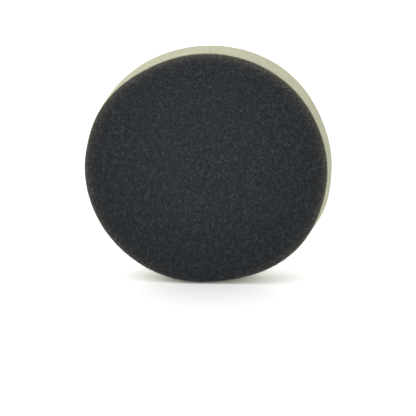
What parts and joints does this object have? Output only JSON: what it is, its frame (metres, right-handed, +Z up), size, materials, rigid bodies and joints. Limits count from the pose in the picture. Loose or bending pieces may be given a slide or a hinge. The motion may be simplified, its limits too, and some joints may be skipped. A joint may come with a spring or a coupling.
{
  "type": "polishing pad",
  "caption": "Round foam polishing pad, 150 mm across, with a dark loop-fabric back, a rounded working edge and no centre hole, standing on its rim.",
  "frame": {"origin": "on the floor, under the middle of the pad as it stands on its rim", "axes": "+Z up, the pad's own axis along Y: the loop fabric looks along -Y and the foam's working face along +Y"},
  "size_m": [0.15, 0.0276, 0.1494],
  "materials": {
    "foam": "soft open-cell polyurethane foam, pale sage cream, fully matte",
    "film": "hot-melt bonding film, pale cream, satin",
    "loop_fabric": "napped knitted nylon loop fabric, dark charcoal grey, fully matte with a soft sheen"
  },
  "bodies": {
    "root": {"foam_body": "foam", "bond_film": "film", "loop_fabric": "loop_fabric"}
  },
  "joints": []
}
